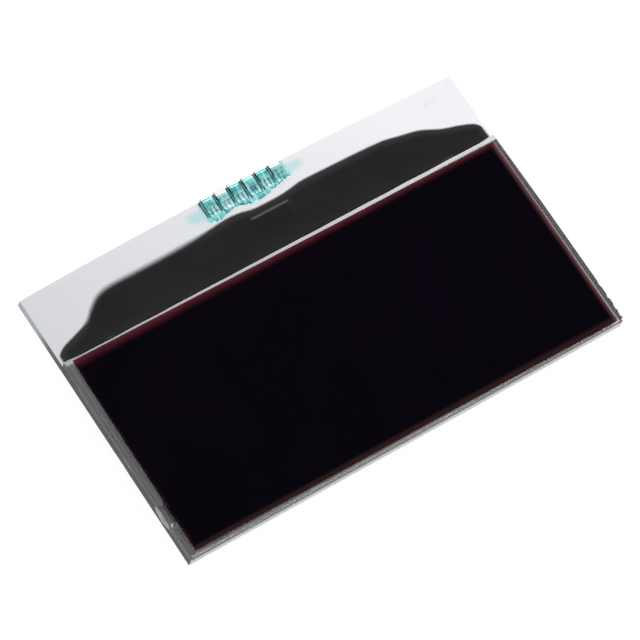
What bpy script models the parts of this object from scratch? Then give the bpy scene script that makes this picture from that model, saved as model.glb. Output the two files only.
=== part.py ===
"""A bare chip-on-glass liquid crystal display cell, lying face up.

Two glass sheets are glued face to face with a gap for the liquid crystal. The rear sheet is deeper than the front
one, and its uncovered strip, the contact ledge, carries the driver chip and the contact clips. A polarizer film is
stuck to the outside of each sheet. X runs along the long edge, +Y points to the ledge and +Z is the viewing side.
"""

import math

import bmesh
import bpy
from mathutils import Matrix, Vector

# Glass sheets
CELL_WIDTH = 0.0640
REAR_GLASS_DEPTH = 0.0390
LEDGE_DEPTH = 0.0099
FRONT_GLASS_DEPTH = REAR_GLASS_DEPTH - LEDGE_DEPTH
GLASS_THICKNESS = 0.0011
LEDGE_EDGE_BOW = 0.0006
LEDGE_EDGE_STEPS = 24
GLASS_ARRIS = 0.00004
CORNER_CHIP_RADIUS = 0.0009
CORNER_CHIP_BITE = 0.0004
EDGE_CHIP_RADIUS = 0.0005
EDGE_CHIP_BITE = 0.00016
EDGE_CHIP_STEP = 0.0015
EDGE_CHIP_COUNT = 3

# Joints between layers
CELL_GAP = 0.00006
FILM_CLEARANCE = 0.00001
BOND_LINE = 0.00002

# Perimeter seal, its filling port and the plug over it
SEAL_INSET = 0.0004
SEAL_END_INSET = 0.00012
SEAL_WIDTH = 0.0009
SEAL_CORNER_RADIUS = 0.0012
SEAL_CORNER_STEPS = 6
CRYSTAL_CLEARANCE = 0.00005
PORT_WIDTH = 0.0026
PORT_FROM_NEAR_EDGE = 0.0064
PLUG_LENGTH = 0.0034
PLUG_HEIGHT = 0.0018
PLUG_PROUD = 0.00018

# Polarizer films
POLARIZER_THICKNESS = 0.0002
FRONT_POLARIZER_END_MARGIN = 0.0009
FRONT_POLARIZER_SIDE_MARGIN = 0.0005
FRONT_POLARIZER_SKEW = math.radians(-0.43)
FRONT_POLARIZER_SHIFT_X = 0.00007
FRONT_POLARIZER_SHIFT_Y = -0.00012
REAR_POLARIZER_END_MARGIN = 0.0011
REAR_POLARIZER_SIDE_MARGIN = 0.0007
NICK_FROM_NEAR_EDGE = 0.0085
NICK_RADIUS = 0.00028
NICK_BITE = 0.00012

# Driver chip and its bonding film
CHIP_LENGTH = 0.0054
CHIP_WIDTH = 0.0011
CHIP_THICKNESS = 0.0003
CHIP_ARRIS = 0.00003
CHIP_SHIFT_X = 0.0015
CHIP_SHARE_OF_COATING = 0.75
BOND_FILM_MARGIN = 0.0004
BOND_FILM_THICKNESS = 0.00003

# Contact clips
CLIP_COUNT = 6
CLIP_PITCH = 0.0020
CLIP_WIDTH = 0.0015
CLIP_METAL = 0.00018
CLIP_CLEARANCE = 0.00002
CLIP_ROW_SHIFT_X = 0.0004
CLIP_UPPER_ARM = 0.0027
CLIP_LOWER_ARM = 0.0020
CLIP_SHOULDER_HEIGHT = 0.0003
CLIP_SHOULDER_LENGTH = 0.0010
CLIP_DROP_LENGTH = 0.00035
CLIP_HEEL_FROM_TIP = 0.0004
CLIP_TIP_LIFT = 0.0001
CLIP_BEND_RADIUS = 0.00016
CLIP_BEND_STEPS = 4
FINGER_COUNT = 3
FINGER_GAP = 0.00018
FINGER_LENGTH = 0.0013

# Teal resin over the clips
RESIN_THICKNESS = 0.0003
RESIN_ROUNDING = 0.0002
RESIN_COVER = 0.0001
RESIN_BEHIND_CLIPS = 0.0002
RESIN_FROM_EDGE = 0.00022
RESIN_END_MARGIN = 0.0005
RESIN_TAIL = 0.0026
RESIN_TAIL_WIDTH = 0.0013
RESIN_TAIL_SHIFT = 0.0003
RESIN_TAIL_THICKNESS = 0.00012
RESIN_POCKET_CLEARANCE = 0.00002

# Black protective coating
COATING_THICKNESS = 0.00024
COATING_TO_CLIPS = 0.0008
COATING_REACH = LEDGE_DEPTH - CLIP_UPPER_ARM - COATING_TO_CLIPS
COATING_SIDE_INSET = 0.0002
COATING_LEFT_SHOULDER = 0.16 * CELL_WIDTH
COATING_RIGHT_SHOULDER = 0.20 * CELL_WIDTH
COATING_WALL_HEIGHT = 0.0008
COATING_WALL_LENGTH = 0.0022
COATING_RIM = 0.0001
COATING_CURVE_STEPS = 5
CHIP_COVER = 0.00014
CHIP_COVER_SLOPE = 0.00035

# Heights of the stack, from the plane that the cell lies on
REAR_GLASS_BOTTOM = POLARIZER_THICKNESS + BOND_LINE
LEDGE_TOP = REAR_GLASS_BOTTOM + GLASS_THICKNESS
FRONT_GLASS_BOTTOM = LEDGE_TOP + CELL_GAP
FRONT_GLASS_TOP = FRONT_GLASS_BOTTOM + GLASS_THICKNESS
LEFT = -CELL_WIDTH / 2
RIGHT = CELL_WIDTH / 2
WELD = 1e-7


def clear_scene():
    for obj in list(bpy.data.objects):
        bpy.data.objects.remove(obj, do_unlink=True)


def new_collection(name):
    collection = bpy.data.collections.new(name)
    bpy.context.scene.collection.children.link(collection)
    return collection


def principled(name, colour, roughness, metallic=0.0, alpha=1.0):
    material = bpy.data.materials.new(name)
    material.use_nodes = True
    shader = material.node_tree.nodes["Principled BSDF"]
    shader.inputs["Base Color"].default_value = (*colour, 1.0)
    shader.inputs["Roughness"].default_value = roughness
    shader.inputs["Metallic"].default_value = metallic
    shader.inputs["Alpha"].default_value = alpha
    return material


def ledge_edge(x):
    """Y of the rear glass's broken edge at x: a shallow arc that stands out most in the middle."""
    share = (x - LEFT) / CELL_WIDTH
    return REAR_GLASS_DEPTH + 4 * LEDGE_EDGE_BOW * share * (1 - share)


def clip_x(number):
    return CLIP_ROW_SHIFT_X + (number - (CLIP_COUNT - 1) / 2) * CLIP_PITCH


def clip_reach():
    """How far the clips' bends stand out past the deepest point of the glass, measured from the near edge."""
    outer = CLIP_CLEARANCE + CLIP_METAL
    return max(ledge_edge(clip_x(number)) for number in range(CLIP_COUNT)) + outer


class Model:
    """The collections, the datum that every piece hangs on, and the ways to make and cut a piece."""

    def __init__(self):
        self.parts = new_collection("lcd_screen")
        self.cutters = new_collection("lcd_screen_cutters")
        self.datum = bpy.data.objects.new("cell_datum", None)
        self.datum.location = (PLUG_PROUD / 2, -clip_reach() / 2, 0.0)
        self.parts.objects.link(self.datum)

    def piece(self, name, mesh, material):
        obj = bpy.data.objects.new(name, mesh)
        obj.parent = self.datum
        mesh.materials.clear()
        mesh.materials.append(material)
        self.parts.objects.link(obj)
        return obj

    def cutter(self, name, mesh):
        obj = bpy.data.objects.new(name, mesh)
        obj.parent = self.datum
        obj.hide_render = True
        obj.display_type = "WIRE"
        self.cutters.objects.link(obj)
        return obj


def combine(obj, other, operation):
    modifier = obj.modifiers.new(other.name, "BOOLEAN")
    modifier.operation = operation
    modifier.solver = "EXACT"
    modifier.object = other


def soften_edges(obj, width, segments=1, angle=40):
    modifier = obj.modifiers.new("softened_edges", "BEVEL")
    modifier.width = width
    modifier.segments = segments
    modifier.limit_method = "ANGLE"
    modifier.angle_limit = math.radians(angle)


def smooth_between(mesh, angle=30):
    mesh.shade_smooth()
    mesh.set_sharp_from_angle(angle=math.radians(angle))


def finish_bmesh(shape, name):
    bmesh.ops.remove_doubles(shape, verts=shape.verts, dist=WELD)
    bmesh.ops.recalc_face_normals(shape, faces=shape.faces)
    mesh = bpy.data.meshes.new(name)
    shape.to_mesh(mesh)
    shape.free()
    return mesh


def box(name, low, high):
    low = Vector(low)
    high = Vector(high)
    shape = bmesh.new()
    place = Matrix.Translation((low + high) / 2) @ Matrix.Diagonal((*(high - low), 1.0))
    bmesh.ops.create_cube(shape, size=1.0, matrix=place)
    return finish_bmesh(shape, name)


def ball(name, centre, radii, rings=8, segments=16):
    shape = bmesh.new()
    place = Matrix.Translation(centre) @ Matrix.Diagonal((*radii, 1.0))
    bmesh.ops.create_uvsphere(shape, u_segments=segments, v_segments=rings, radius=1.0, matrix=place)
    return finish_bmesh(shape, name)


def joined(name, meshes):
    """Several closed meshes in one, for a cutter made of separate blocks."""
    shape = bmesh.new()
    for mesh in meshes:
        shape.from_mesh(mesh)
        bpy.data.meshes.remove(mesh)
    mesh = bpy.data.meshes.new(name)
    shape.to_mesh(mesh)
    shape.free()
    return mesh


def flat_curve(name, outlines, kind="POLY", steps=1):
    curve = bpy.data.curves.new(name, "CURVE")
    curve.dimensions = "2D"
    curve.fill_mode = "BOTH"
    curve.resolution_u = steps
    for outline in outlines:
        spline = curve.splines.new(kind)
        points = spline.points if kind == "POLY" else spline.bezier_points
        points.add(len(outline) - 1)
        for point, (x, y) in zip(points, outline):
            if kind == "POLY":
                point.co = (x, y, 0.0, 1.0)
            else:
                point.co = (x, y, 0.0)
                point.handle_left_type = "AUTO"
                point.handle_right_type = "AUTO"
        if kind != "POLY":
            for point in (points[0], points[-1]):
                point.handle_left_type = "VECTOR"
                point.handle_right_type = "VECTOR"
            points[1].handle_left_type = "VECTOR"
            points[-2].handle_right_type = "VECTOR"
        spline.use_cyclic_u = True
    return curve


def mesh_of_curve(curve, name, place):
    """The curve's solid as a mesh, with its loose caps welded on, moved to its place."""
    obj = bpy.data.objects.new(name, curve)
    bpy.context.scene.collection.objects.link(obj)
    graph = bpy.context.evaluated_depsgraph_get()
    made = bpy.data.meshes.new_from_object(obj.evaluated_get(graph))
    bpy.data.objects.remove(obj, do_unlink=True)
    bpy.data.curves.remove(curve)
    shape = bmesh.new()
    shape.from_mesh(made)
    bpy.data.meshes.remove(made)
    bmesh.ops.transform(shape, matrix=place, verts=shape.verts)
    return finish_bmesh(shape, name)


def plate(name, outlines, bottom, thickness):
    curve = flat_curve(name, outlines)
    curve.extrude = thickness / 2
    return mesh_of_curve(curve, name, Matrix.Translation((0, 0, bottom + thickness / 2)))


def pillow(name, outline, bottom, thickness, rounding, kind="POLY", steps=1):
    """A flat-bottomed pad with a round top rim: the upper half of an outline with a round edge."""
    curve = flat_curve(name, [outline], kind, steps)
    curve.bevel_depth = rounding
    curve.bevel_resolution = 2
    curve.offset = -rounding
    curve.extrude = thickness - rounding
    mesh = mesh_of_curve(curve, name, Matrix.Translation((0, 0, bottom)))
    shape = bmesh.new()
    shape.from_mesh(mesh)
    everything = shape.verts[:] + shape.edges[:] + shape.faces[:]
    cut = bmesh.ops.bisect_plane(
        shape, geom=everything, plane_co=(0, 0, bottom), plane_no=(0, 0, -1), clear_outer=True
    )
    rim = [item for item in cut["geom_cut"] if isinstance(item, bmesh.types.BMEdge)]
    bmesh.ops.contextual_create(shape, geom=rim)
    bpy.data.meshes.remove(mesh)
    return finish_bmesh(shape, name)


def section_along_x(name, section, x_from, x_to):
    """An outline in the YZ plane, drawn out along X."""
    curve = flat_curve(name, [section])
    curve.extrude = (x_to - x_from) / 2
    turn = Matrix(((0, 0, 1, (x_from + x_to) / 2), (1, 0, 0, 0), (0, 1, 0, 0), (0, 0, 0, 1)))
    return mesh_of_curve(curve, name, turn)


def rectangle(x_low, y_low, x_high, y_high):
    return [(x_low, y_low), (x_high, y_low), (x_high, y_high), (x_low, y_high)]


def rounded_rectangle(x_low, y_low, x_high, y_high, radius, steps):
    points = []
    corners = [(x_high, y_high, 0), (x_low, y_high, 90), (x_low, y_low, 180), (x_high, y_low, 270)]
    for x, y, start in corners:
        centre_x = x - math.copysign(radius, x - (x_low + x_high) / 2)
        centre_y = y - math.copysign(radius, y - (y_low + y_high) / 2)
        for step in range(steps + 1):
            angle = math.radians(start + 90 * step / steps)
            points.append((centre_x + radius * math.cos(angle), centre_y + radius * math.sin(angle)))
    return points


def make_rear_glass(model, glass):
    """The deep sheet. Its far edge was broken along a scribed line and bows out a little."""
    outline = [(LEFT, 0.0), (RIGHT, 0.0)]
    for step in range(LEDGE_EDGE_STEPS + 1):
        x = RIGHT - CELL_WIDTH * step / LEDGE_EDGE_STEPS
        outline.append((x, ledge_edge(x)))
    mesh = plate("rear_glass", [outline], REAR_GLASS_BOTTOM, GLASS_THICKNESS)
    soften_edges(model.piece("rear_glass", mesh, glass), GLASS_ARRIS)


def make_front_glass(model, glass):
    """The shallow sheet, with conchoidal chips broken out of its near right corner and the edge beside it."""
    outline = rectangle(LEFT, 0.0, RIGHT, FRONT_GLASS_DEPTH)
    mesh = plate("front_glass", [outline], FRONT_GLASS_BOTTOM, GLASS_THICKNESS)
    glass_sheet = model.piece("front_glass", mesh, glass)
    soften_edges(glass_sheet, GLASS_ARRIS)
    away = CORNER_CHIP_RADIUS - CORNER_CHIP_BITE
    corner = (RIGHT + away, -away, FRONT_GLASS_TOP)
    shells = [ball("corner_chip", corner, (CORNER_CHIP_RADIUS * 1.4,) * 2 + (CORNER_CHIP_RADIUS,))]
    for number in range(EDGE_CHIP_COUNT):
        y = CORNER_CHIP_RADIUS + (number + 1) * EDGE_CHIP_STEP
        radius = EDGE_CHIP_RADIUS * (1 - 0.2 * number)
        x = RIGHT + radius - EDGE_CHIP_BITE
        shells.append(ball("edge_chip", (x, y, FRONT_GLASS_TOP), (radius, radius * 1.8, radius)))
    combine(glass_sheet, model.cutter("glass_chips", joined("glass_chips", shells)), "DIFFERENCE")


def make_perimeter_seal(model, seal):
    """The glue frame round the cell gap, with one opening on the left through which the cell was filled."""
    outer = (LEFT + SEAL_END_INSET, SEAL_INSET, RIGHT - SEAL_END_INSET, FRONT_GLASS_DEPTH - SEAL_INSET)
    inner = inside_seal(0.0)
    outlines = [rectangle(*outer), rounded_rectangle(*inner, SEAL_CORNER_RADIUS, SEAL_CORNER_STEPS)]
    bottom = LEDGE_TOP + FILM_CLEARANCE
    thickness = CELL_GAP - 2 * FILM_CLEARANCE
    frame = model.piece("perimeter_seal", plate("perimeter_seal", outlines, bottom, thickness), seal)
    low = (LEFT, PORT_FROM_NEAR_EDGE - PORT_WIDTH / 2, LEDGE_TOP)
    high = (inner[0] + CRYSTAL_CLEARANCE, PORT_FROM_NEAR_EDGE + PORT_WIDTH / 2, FRONT_GLASS_BOTTOM)
    combine(frame, model.cutter("filling_port", box("filling_port", low, high)), "DIFFERENCE")


def inside_seal(clearance):
    """Low and high corners of the space that the seal leaves, less a clearance."""
    margin = SEAL_INSET + SEAL_WIDTH + clearance
    return LEFT + margin, margin, RIGHT - margin, FRONT_GLASS_DEPTH - margin


def make_liquid_crystal(model, crystal):
    radius = SEAL_CORNER_RADIUS - CRYSTAL_CLEARANCE
    outline = rounded_rectangle(*inside_seal(CRYSTAL_CLEARANCE), radius, SEAL_CORNER_STEPS)
    bottom = LEDGE_TOP + FILM_CLEARANCE
    mesh = plate("liquid_crystal_layer", [outline], bottom, CELL_GAP - 2 * FILM_CLEARANCE)
    model.piece("liquid_crystal_layer", mesh, crystal)


def make_fill_port_plug(model, resin):
    """A dab of resin on the end face of both sheets, with a tongue that was drawn into the port as it cured."""
    middle = LEDGE_TOP + CELL_GAP / 2
    face = LEFT - BOND_LINE
    sink = PLUG_PROUD
    radius_x = PLUG_PROUD - BOND_LINE + sink
    widen = 1 / math.sqrt(1 - (sink / radius_x) ** 2)
    radii = (radius_x, PLUG_LENGTH / 2 * widen, PLUG_HEIGHT / 2 * widen)
    dab = ball("fill_port_plug", (face + sink, PORT_FROM_NEAR_EDGE, middle), radii, 12, 20)
    plug = model.piece("fill_port_plug", dab, resin)
    inside = box(
        "glass_end_face",
        (face, PORT_FROM_NEAR_EDGE - PLUG_LENGTH * widen, middle - PLUG_HEIGHT * widen),
        (face + 2 * radius_x, PORT_FROM_NEAR_EDGE + PLUG_LENGTH * widen, middle + PLUG_HEIGHT * widen),
    )
    combine(plug, model.cutter("glass_end_face", inside), "DIFFERENCE")
    half = PORT_WIDTH / 2 - CRYSTAL_CLEARANCE
    tongue = box(
        "port_tongue",
        (face - PLUG_PROUD / 5, PORT_FROM_NEAR_EDGE - half, LEDGE_TOP + FILM_CLEARANCE),
        (LEFT + SEAL_INSET + SEAL_WIDTH, PORT_FROM_NEAR_EDGE + half, FRONT_GLASS_BOTTOM - FILM_CLEARANCE),
    )
    combine(plug, model.cutter("port_tongue", tongue), "UNION")


def make_front_polarizer(model, film):
    """The dark film on the viewing side, stuck on slightly askew, with a nick in its left edge."""
    half_width = CELL_WIDTH / 2 - FRONT_POLARIZER_END_MARGIN
    half_depth = FRONT_GLASS_DEPTH / 2 - FRONT_POLARIZER_SIDE_MARGIN
    outline = rectangle(-half_width, -half_depth, half_width, half_depth)
    mesh = plate("front_polarizer", [outline], FRONT_GLASS_TOP + BOND_LINE, POLARIZER_THICKNESS)
    sheet = model.piece("front_polarizer", mesh, film)
    middle_y = FRONT_GLASS_DEPTH / 2 + FRONT_POLARIZER_SHIFT_Y
    sheet.location = (FRONT_POLARIZER_SHIFT_X, middle_y, 0.0)
    sheet.rotation_euler = (0.0, 0.0, FRONT_POLARIZER_SKEW)
    centre = (NICK_BITE - NICK_RADIUS - half_width, NICK_FROM_NEAR_EDGE - middle_y, FRONT_GLASS_TOP)
    nick = model.cutter("polarizer_nick", ball("polarizer_nick", centre, (NICK_RADIUS,) * 3))
    nick.parent = sheet
    combine(sheet, nick, "DIFFERENCE")


def make_rear_polarizer(model, film):
    end = REAR_POLARIZER_END_MARGIN
    side = REAR_POLARIZER_SIDE_MARGIN
    outline = rectangle(LEFT + end, side, RIGHT - end, FRONT_GLASS_DEPTH - side)
    model.piece("rear_polarizer", plate("rear_polarizer", [outline], 0.0, POLARIZER_THICKNESS), film)


def chip_box(margin, bottom, top):
    """A block round the chip's footprint, grown by a margin on all four sides."""
    y = FRONT_GLASS_DEPTH + CHIP_SHARE_OF_COATING * COATING_REACH
    low = (CHIP_SHIFT_X - CHIP_LENGTH / 2 - margin, y - CHIP_WIDTH / 2 - margin, bottom)
    high = (CHIP_SHIFT_X + CHIP_LENGTH / 2 + margin, y + CHIP_WIDTH / 2 + margin, top)
    return low, high


def bond_film_top():
    return LEDGE_TOP + FILM_CLEARANCE + BOND_FILM_THICKNESS


def chip_top():
    return bond_film_top() + FILM_CLEARANCE + CHIP_THICKNESS


def make_driver_chip(model, silicon, film):
    corners = chip_box(0.0, bond_film_top() + FILM_CLEARANCE, chip_top())
    soften_edges(model.piece("driver_chip", box("driver_chip", *corners), silicon), CHIP_ARRIS)
    corners = chip_box(BOND_FILM_MARGIN, LEDGE_TOP + FILM_CLEARANCE, bond_film_top())
    model.piece("chip_bond_film", box("chip_bond_film", *corners), film)


def coating_outline():
    """The coating as it was poured: a straight side on the front glass and a wavy far side.

    Each shoulder is given as shares of its own length and of the reach, from its end of the cell inwards.
    """
    left = [(0.0, 0.17), (0.07, 0.25), (0.29, 0.39), (0.52, 0.54), (0.70, 0.77), (1.0, 1.0)]
    right = [(0.0, 0.17), (0.04, 0.38), (0.20, 0.54), (0.37, 0.66), (0.60, 0.85), (0.80, 0.93), (1.0, 1.0)]
    wall = FRONT_GLASS_DEPTH + BOND_LINE
    start = LEFT + COATING_SIDE_INSET
    end = RIGHT - COATING_SIDE_INSET
    swell = clip_x(0)
    points = [(start + COATING_LEFT_SHOULDER * x, wall + COATING_REACH * y) for x, y in left]
    points += [(swell - 2 * CLIP_PITCH, wall + COATING_REACH * 1.01)]
    points += [(swell + 0.6 * CLIP_PITCH, wall + COATING_REACH * 1.10)]
    points += [(CHIP_SHIFT_X - CHIP_LENGTH / 3, wall + COATING_REACH)]
    points += [(CHIP_SHIFT_X + CHIP_LENGTH / 2, wall + COATING_REACH * 0.98)]
    points += [(CHIP_SHIFT_X + CHIP_LENGTH, wall + COATING_REACH * 1.06)]
    points += [(end - COATING_RIGHT_SHOULDER * x, wall + COATING_REACH * y) for x, y in reversed(right)]
    return [(start, wall - COATING_REACH * 0.1)] + points + [(end, wall - COATING_REACH * 0.1)]


def fillet_section(length, climb):
    """Outline in YZ of the coating where it climbs the front glass's end face, from inside the flat skin upwards."""
    wall = FRONT_GLASS_DEPTH + BOND_LINE
    foot = LEDGE_TOP + BOND_LINE + COATING_THICKNESS / 2
    steps = 6
    points = [(wall - COATING_REACH * 0.05, foot), (wall + length, foot)]
    for step in range(steps + 1):
        share = step / steps
        height = COATING_THICKNESS / 2 - BOND_LINE / 2 + climb * share**2
        points.append((wall + length * (1 - share), foot + height))
    return points + [(wall - COATING_REACH * 0.05, points[-1][1])]


def coating_fillet():
    """The climbing part from end to end of the coating, lower and shorter where the skin narrows at both ends."""
    start = LEFT + COATING_SIDE_INSET + COATING_RIM * 1.5
    end = RIGHT - COATING_SIDE_INSET - COATING_RIM * 1.5
    climb = COATING_WALL_HEIGHT - COATING_THICKNESS
    length = COATING_WALL_LENGTH
    stations = [
        (start, length * 0.35, climb * 0.6),
        (start + length, length, climb),
        (end - length, length, climb),
        (end, length * 0.35, climb * 0.6),
    ]
    shape = bmesh.new()
    rings = []
    for x, reach, rise in stations:
        rings.append([shape.verts.new((x, y, z)) for y, z in fillet_section(reach, rise)])
    for ring, following in zip(rings, rings[1:]):
        for number in range(len(ring)):
            after = (number + 1) % len(ring)
            shape.faces.new((ring[number], ring[after], following[after], following[number]))
    shape.faces.new(rings[0])
    shape.faces.new(rings[-1])
    return finish_bmesh(shape, "coating_fillet")


def make_protective_coating(model, coating):
    """The black skin over the chip and its tracks, swollen over the chip, which sits in a pocket of its own shape."""
    bottom = LEDGE_TOP + BOND_LINE
    steps = COATING_CURVE_STEPS
    outline = coating_outline()
    mesh = pillow("protective_coating", outline, bottom, COATING_THICKNESS, COATING_RIM, "BEZIER", steps)
    skin = model.piece("protective_coating", mesh, coating)
    combine(skin, model.cutter("coating_fillet", coating_fillet()), "UNION")
    low, high = chip_box(CHIP_COVER, bottom + COATING_THICKNESS * 0.3, chip_top() + CHIP_COVER)
    swell = model.cutter("chip_swell", swelling(low, high))
    soften_edges(swell, CHIP_COVER * 0.8, 3, 20)
    combine(skin, swell, "UNION")
    wall = FRONT_GLASS_DEPTH + BOND_LINE
    glass = box(
        "glass_wall",
        (LEFT - GLASS_THICKNESS, wall - COATING_REACH, 0.0),
        (RIGHT + GLASS_THICKNESS, wall, FRONT_GLASS_TOP + GLASS_THICKNESS),
    )
    combine(skin, model.cutter("glass_wall", glass), "DIFFERENCE")
    pocket = box("chip_pocket", *chip_box(BOND_LINE, LEDGE_TOP, chip_top() + BOND_LINE))
    combine(skin, model.cutter("chip_pocket", pocket), "DIFFERENCE")
    low, high = chip_box(BOND_FILM_MARGIN + BOND_LINE, LEDGE_TOP, bond_film_top() + BOND_LINE)
    combine(skin, model.cutter("bond_film_pocket", box("bond_film_pocket", low, high)), "DIFFERENCE")


def swelling(low, high):
    """A block whose sides slope outwards to its foot."""
    shape = bmesh.new()
    low = Vector(low)
    high = Vector(high)
    place = Matrix.Translation((low + high) / 2) @ Matrix.Diagonal((*(high - low), 1.0))
    bmesh.ops.create_cube(shape, size=1.0, matrix=place)
    middle = (low + high) / 2
    for vert in shape.verts:
        if vert.co.z < middle.z:
            vert.co.x += math.copysign(CHIP_COVER_SLOPE, vert.co.x - middle.x)
            vert.co.y += math.copysign(CHIP_COVER_SLOPE, vert.co.y - middle.y)
    return finish_bmesh(shape, "chip_swell")


def rounded_path(points, radius, steps):
    """The same open path with each inner corner turned into an arc of the given radius."""
    path = [Vector(points[0])]
    for before, corner, after in zip(points, points[1:], points[2:]):
        corner = Vector(corner)
        back = (Vector(before) - corner).normalized()
        on = (Vector(after) - corner).normalized()
        half = back.angle(on) / 2
        reach = radius / math.tan(half)
        centre = corner + (back + on).normalized() * radius / math.sin(half)
        first = corner + back * reach - centre
        last = corner + on * reach - centre
        turn = first.angle_signed(last)
        for step in range(steps + 1):
            angle = -turn * step / steps
            path.append(centre + Matrix.Rotation(angle, 2) @ first)
    path.append(Vector(points[-1]))
    return path


def clip_path(clearance):
    """The clip's inner face seen from its side, as (y, z) from the glass edge at the ledge's top face."""
    under = -GLASS_THICKNESS - clearance
    heel = clearance
    tip = -CLIP_UPPER_ARM
    points = [
        (-CLIP_LOWER_ARM, under),
        (clearance, under),
        (clearance, CLIP_SHOULDER_HEIGHT),
        (-CLIP_SHOULDER_LENGTH, CLIP_SHOULDER_HEIGHT),
        (-CLIP_SHOULDER_LENGTH - CLIP_DROP_LENGTH, heel),
        (tip + CLIP_HEEL_FROM_TIP, heel),
        (tip, heel + CLIP_TIP_LIFT),
    ]
    return rounded_path(points, CLIP_BEND_RADIUS, CLIP_BEND_STEPS)


def strip_outline(path, thickness):
    """Closed outline of a sheet-metal strip: the inner path and the same path moved out by the metal's thickness."""
    outer = []
    for number, point in enumerate(path):
        before = path[max(number - 1, 0)]
        after = path[min(number + 1, len(path) - 1)]
        arriving = (point - before).normalized() if number else (after - point).normalized()
        leaving = (after - point).normalized() if number < len(path) - 1 else arriving
        normal_in = Vector((arriving.y, -arriving.x))
        normal_out = Vector((leaving.y, -leaving.x))
        mitre = (normal_in + normal_out).normalized()
        outer.append(point + mitre * thickness / mitre.dot(normal_in))
    return [tuple(point) for point in path] + [tuple(point) for point in reversed(outer)]


def make_contact_clips(model, metal):
    """Sheet-metal clips that grip the ledge: one broad tongue below, a shoulder and three springy fingers above."""
    half = CLIP_WIDTH / 2
    outline = strip_outline(clip_path(CLIP_CLEARANCE), CLIP_METAL)
    blank = model.piece("clip_blank", section_along_x("clip_blank", outline, -half, half), metal)
    finger = (CLIP_WIDTH - (FINGER_COUNT - 1) * FINGER_GAP) / FINGER_COUNT
    slots = []
    for number in range(FINGER_COUNT - 1):
        x = -half + (number + 1) * finger + number * FINGER_GAP
        low = (x, -CLIP_UPPER_ARM - CLIP_METAL, -GLASS_THICKNESS / 2)
        high = (x + FINGER_GAP, FINGER_LENGTH - CLIP_UPPER_ARM, CLIP_SHOULDER_HEIGHT + 2 * CLIP_METAL)
        slots.append(box("slot", low, high))
    combine(blank, model.cutter("finger_slots", joined("finger_slots", slots)), "DIFFERENCE")
    graph = bpy.context.evaluated_depsgraph_get()
    clip = bpy.data.meshes.new_from_object(blank.evaluated_get(graph))
    bpy.data.objects.remove(blank, do_unlink=True)
    smooth_between(clip)
    for number in range(CLIP_COUNT):
        x = clip_x(number)
        obj = model.piece(f"contact_clip_{number + 1}", clip, metal)
        obj.location = (x, ledge_edge(x), LEDGE_TOP)


def blocks_over_clips(name, grow, foot, outer_end):
    """One block over each clip's upper arm, grown by a margin: level over the shoulder, lower over the fingers."""
    shoulder = LEDGE_TOP + CLIP_SHOULDER_HEIGHT + CLIP_METAL + grow
    fingers = LEDGE_TOP + CLIP_CLEARANCE + CLIP_TIP_LIFT + CLIP_METAL + grow
    blocks = []
    for number in range(CLIP_COUNT):
        x = clip_x(number)
        y = ledge_edge(x)
        half = CLIP_WIDTH / 2 + grow
        drop = y - CLIP_SHOULDER_LENGTH - CLIP_METAL / 2 - grow
        tip = y - CLIP_UPPER_ARM - grow
        outline = [
            (y + outer_end, foot),
            (y + outer_end, shoulder),
            (drop, shoulder),
            (drop - CLIP_DROP_LENGTH, fingers),
            (tip, fingers),
            (tip, foot),
        ]
        blocks.append(section_along_x(name, outline, x - half, x + half))
    return joined(name, blocks)


def make_contact_resin(model, resin):
    """The glassy dab over the clips' upper arms: a pad with a swelling over each clip, smeared out past both ends."""
    bottom = LEDGE_TOP + BOND_LINE
    row = (CLIP_COUNT - 1) / 2 * CLIP_PITCH + CLIP_WIDTH / 2 + RESIN_END_MARGIN
    edge = ledge_edge(CLIP_ROW_SHIFT_X)
    near = edge - CLIP_UPPER_ARM - RESIN_BEHIND_CLIPS - RESIN_COVER
    far = edge - RESIN_FROM_EDGE
    low_x = CLIP_ROW_SHIFT_X - row
    high_x = CLIP_ROW_SHIFT_X + row
    outline = rounded_rectangle(low_x, near, high_x, far, (far - near) * 0.35, 5)
    mesh = pillow("contact_resin", outline, bottom, RESIN_THICKNESS, RESIN_ROUNDING)
    dab = model.piece("contact_resin", mesh, resin)
    middle = (near + far) / 2 + RESIN_TAIL_SHIFT
    half = RESIN_TAIL_WIDTH / 2
    smear_ends = (low_x - RESIN_TAIL, high_x + RESIN_TAIL)
    smear = rounded_rectangle(smear_ends[0], middle - half, smear_ends[1], middle + half, half * 0.9, 5)
    tails = pillow("resin_tails", smear, bottom, RESIN_TAIL_THICKNESS, RESIN_TAIL_THICKNESS * 0.8)
    combine(dab, model.cutter("resin_tails", tails), "UNION")
    foot = bottom + RESIN_THICKNESS / 2
    blocks = blocks_over_clips("resin_swells", RESIN_COVER, foot, -RESIN_FROM_EDGE / 2)
    swells = model.cutter("resin_swells", blocks)
    soften_edges(swells, RESIN_COVER * 0.7, 2, 25)
    combine(dab, swells, "UNION")
    grow = RESIN_POCKET_CLEARANCE
    pockets = blocks_over_clips("clip_pockets", grow, LEDGE_TOP - grow, CLIP_METAL)
    combine(dab, model.cutter("clip_pockets", pockets), "DIFFERENCE")
    dab.modifiers[-1].use_hole_tolerant = True


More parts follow.
